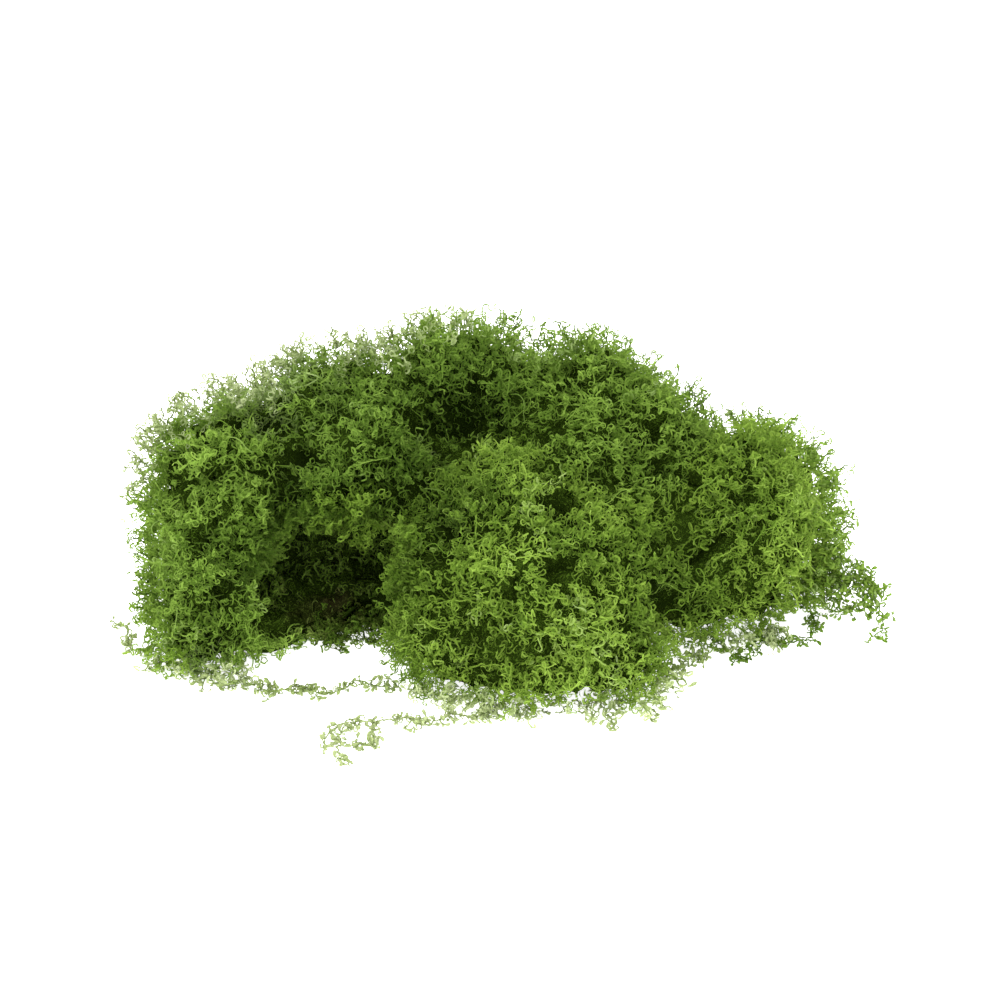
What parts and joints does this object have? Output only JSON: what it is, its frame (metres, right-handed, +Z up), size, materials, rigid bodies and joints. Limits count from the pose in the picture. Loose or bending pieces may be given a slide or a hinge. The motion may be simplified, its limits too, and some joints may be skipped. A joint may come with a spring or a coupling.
{
  "type": "moss clump",
  "caption": "Loose handful of green moss: cushions of curled strands with dark clefts between them, pale at the fringe, with fine strands trailing along the surface it rests on.",
  "frame": {"origin": "middle of the clump's bounding box, on the surface it rests on", "axes": "+X to the right along the clump's longest side, -Y towards the front with the dark hollow, +Z up"},
  "size_m": [0.1968, 0.1424, 0.0723],
  "materials": {
    "bright_green_moss": "matt, soft and curly, bright yellow green",
    "green_moss": "matt, soft and curly, mid green",
    "shaded_green_moss": "matt, soft and curly, dark green",
    "pale_green_moss": "matt, thin dry strands, pale green"
  },
  "bodies": {
    "root": {"front_tuft": "bright_green_moss", "left_tuft": "green_moss", "right_tuft": "bright_green_moss", "shoulder_tuft": "green_moss", "crown_tuft": "shaded_green_moss", "front_strand": "pale_green_moss", "front_strand_fork": "pale_green_moss", "front_strand_branch": "pale_green_moss", "base_garland": "pale_green_moss", "front_tail": "pale_green_moss", "front_right_chain": "pale_green_moss", "right_floor_strand": "pale_green_moss", "right_sprig": "pale_green_moss", "left_loop": "pale_green_moss"}
  },
  "joints": []
}
